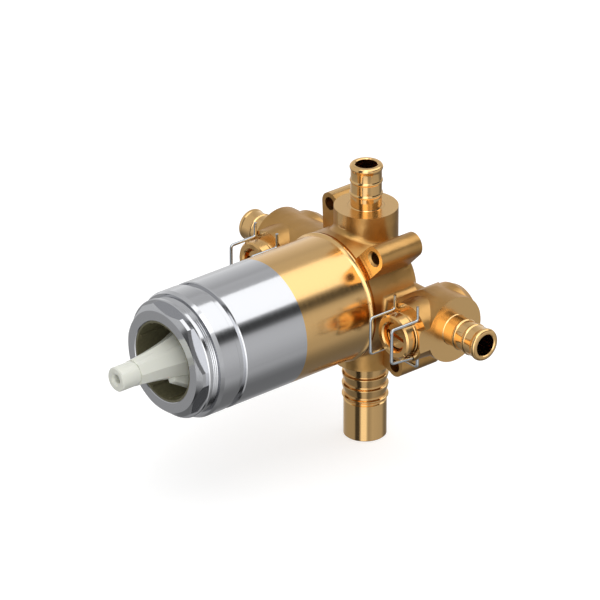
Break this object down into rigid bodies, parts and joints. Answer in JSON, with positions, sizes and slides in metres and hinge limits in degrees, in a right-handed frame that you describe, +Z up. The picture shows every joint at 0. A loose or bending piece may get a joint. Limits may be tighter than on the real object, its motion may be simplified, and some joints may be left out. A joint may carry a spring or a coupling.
{
  "type": "pressure balancing shower valve",
  "caption": "Rough-in brass shower mixing valve body with a balancing cartridge, chrome bonnet sleeve, service stops, wire clips and crimp barbs.",
  "frame": {"origin": "where the cartridge axis, the inlet axis and the outlet axis meet, which is the centre of the circle through the two mounting lug holes", "axes": "+X along the inlets to the right as the user sees it, +Y along the cartridge into the wall, +Z up along the shower outlet"},
  "size_m": [0.1294, 0.132, 0.1087],
  "materials": {
    "cast_brass": "as cast, tumbled satin, with a turned and polished barrel",
    "turned_brass": "turned, bright",
    "chrome": "bright chrome plate",
    "stem_plastic": "natural moulded acetal, milky",
    "housing_plastic": "moulded, olive",
    "ceramic": "lapped alumina",
    "stainless": "ground stainless steel",
    "spring_wire": "drawn stainless spring wire",
    "seal_rubber": "moulded nitrile rubber"
  },
  "bodies": {
    "valve": {"valve_body": "cast_brass", "bonnet_sleeve": "chrome", "retaining_nut": "chrome", "sleeve_o_ring": "seal_rubber", "shower_outlet_barb": "turned_brass", "tub_outlet_nipple": "turned_brass", "left_inlet_barb": "turned_brass", "right_inlet_barb": "turned_brass", "cartridge_housing": "housing_plastic", "cartridge_front_o_ring": "seal_rubber", "cartridge_rear_o_ring": "seal_rubber", "port_gasket": "seal_rubber", "fixed_ceramic_disc": "ceramic", "temperature_limit_ring": "housing_plastic", "spool_sleeve": "stainless", "spool_plug": "housing_plastic", "left_stop_bonnet": "turned_brass", "left_stop_gland": "turned_brass", "left_stop_o_ring": "seal_rubber", "left_retaining_clip": "spring_wire", "right_stop_bonnet": "turned_brass", "right_stop_gland": "turned_brass", "right_stop_o_ring": "seal_rubber", "right_retaining_clip": "spring_wire"},
    "stem": {"stem": "stem_plastic", "stem_o_ring": "seal_rubber", "disc_driver": "housing_plastic", "moving_ceramic_disc": "ceramic"},
    "balance_spool": {"balance_spool": "stainless"},
    "left_plunger": {"left_stop_plunger": "turned_brass", "left_seat_washer": "seal_rubber"},
    "left_screw": {"left_stop_screw": "turned_brass"},
    "right_plunger": {"right_stop_plunger": "turned_brass", "right_seat_washer": "seal_rubber"},
    "right_screw": {"right_stop_screw": "turned_brass"}
  },
  "joints": [
    {"name": "stem_turn", "type": "hinge", "parent": "valve", "child": "stem", "pos_m": [0, 0, 0], "axis": [0, -1, 0], "range_deg": [0, 175]},
    {"name": "balance_spool_slide", "type": "slide", "parent": "valve", "child": "balance_spool", "axis": [1, 0, 0], "range_m": [-0.002, 0.002]},
    {"name": "left_stop_travel", "type": "slide", "parent": "valve", "child": "left_plunger", "axis": [0, 1, 0], "range_m": [0, 0.00313]},
    {"name": "left_stop_turn", "type": "hinge", "parent": "left_plunger", "child": "left_screw", "pos_m": [-0.0385, 0, 0], "axis": [0, 1, 0], "range_deg": [0, 900]},
    {"name": "right_stop_travel", "type": "slide", "parent": "valve", "child": "right_plunger", "axis": [0, 1, 0], "range_m": [0, 0.00313]},
    {"name": "right_stop_turn", "type": "hinge", "parent": "right_plunger", "child": "right_screw", "pos_m": [0.0385, 0, 0], "axis": [0, 1, 0], "range_deg": [0, 900]}
  ],
  "couplings": [
    {"joint": "left_stop_travel", "follows": "left_stop_turn", "m_per_rad": 0.00019894},
    {"joint": "right_stop_travel", "follows": "right_stop_turn", "m_per_rad": 0.00019894}
  ]
}
